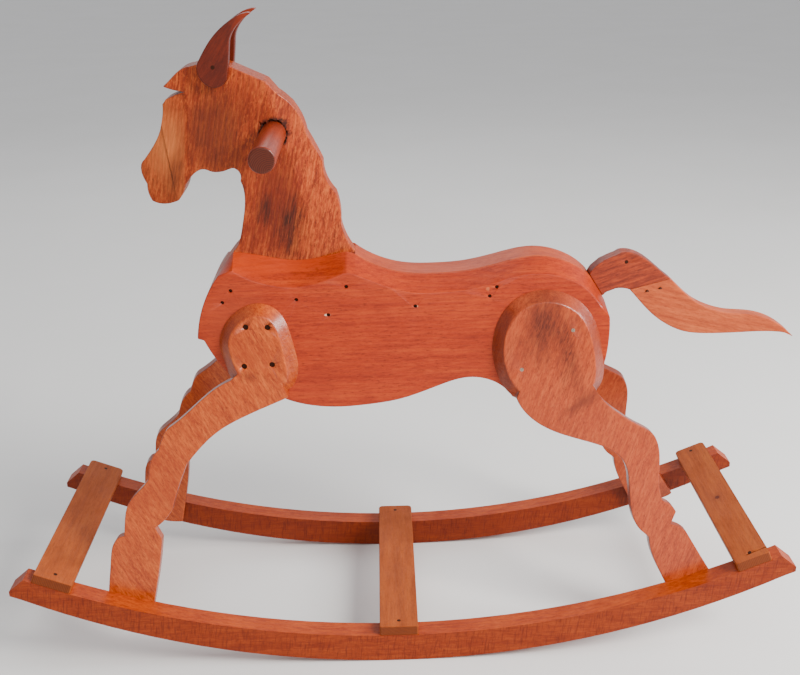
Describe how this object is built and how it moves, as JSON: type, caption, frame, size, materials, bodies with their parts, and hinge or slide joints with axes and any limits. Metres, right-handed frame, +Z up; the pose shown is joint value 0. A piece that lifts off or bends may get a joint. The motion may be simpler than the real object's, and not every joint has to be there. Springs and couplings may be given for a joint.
{
  "type": "wooden rocking horse",
  "caption": "Child's rocking horse cut from wooden boards, with splayed legs on two curved bows joined by cross slats, a plank head with a cross hand bar, and a board tail.",
  "frame": {"origin": "on the floor, under the middle of the horse's overall length and width, at the level of the bows' lowest line", "axes": "+X from head to tail, +Y across from the horse's left side to its right side as built here, +Z up"},
  "size_m": [0.916, 0.3, 0.729],
  "materials": {
    "bow_wood": "satin varnish",
    "slat_wood": "satin varnish",
    "leg_wood": "satin varnish",
    "body_wood": "satin varnish",
    "neck_wood": "satin varnish",
    "ear_wood": "satin varnish",
    "bar_wood": "satin varnish",
    "tail_wood": "satin varnish",
    "nail_steel": "dull bright steel"
  },
  "bodies": {
    "root": {"bow_left": "bow_wood", "bow_right": "bow_wood", "front_slat": "slat_wood", "middle_slat": "slat_wood", "rear_slat": "slat_wood", "front_leg_left": "leg_wood", "front_leg_right": "leg_wood", "rear_leg_left": "leg_wood", "rear_leg_right": "leg_wood", "body_core": "body_wood", "body_side_left": "body_wood", "body_side_right": "body_wood", "neck_head": "neck_wood", "ear_left": "ear_wood", "ear_right": "ear_wood", "hand_bar": "bar_wood", "tail_root": "tail_wood", "tail_tip": "tail_wood", "front_leg_screws_left": "nail_steel", "front_leg_screws_right": "nail_steel", "rear_leg_nails_left": "nail_steel", "rear_leg_nails_right": "nail_steel", "body_nails_left": "nail_steel", "body_nails_right": "nail_steel", "ear_nails": "nail_steel", "tail_nails": "nail_steel", "foot_nails": "nail_steel", "slat_nails": "nail_steel"}
  },
  "joints": []
}
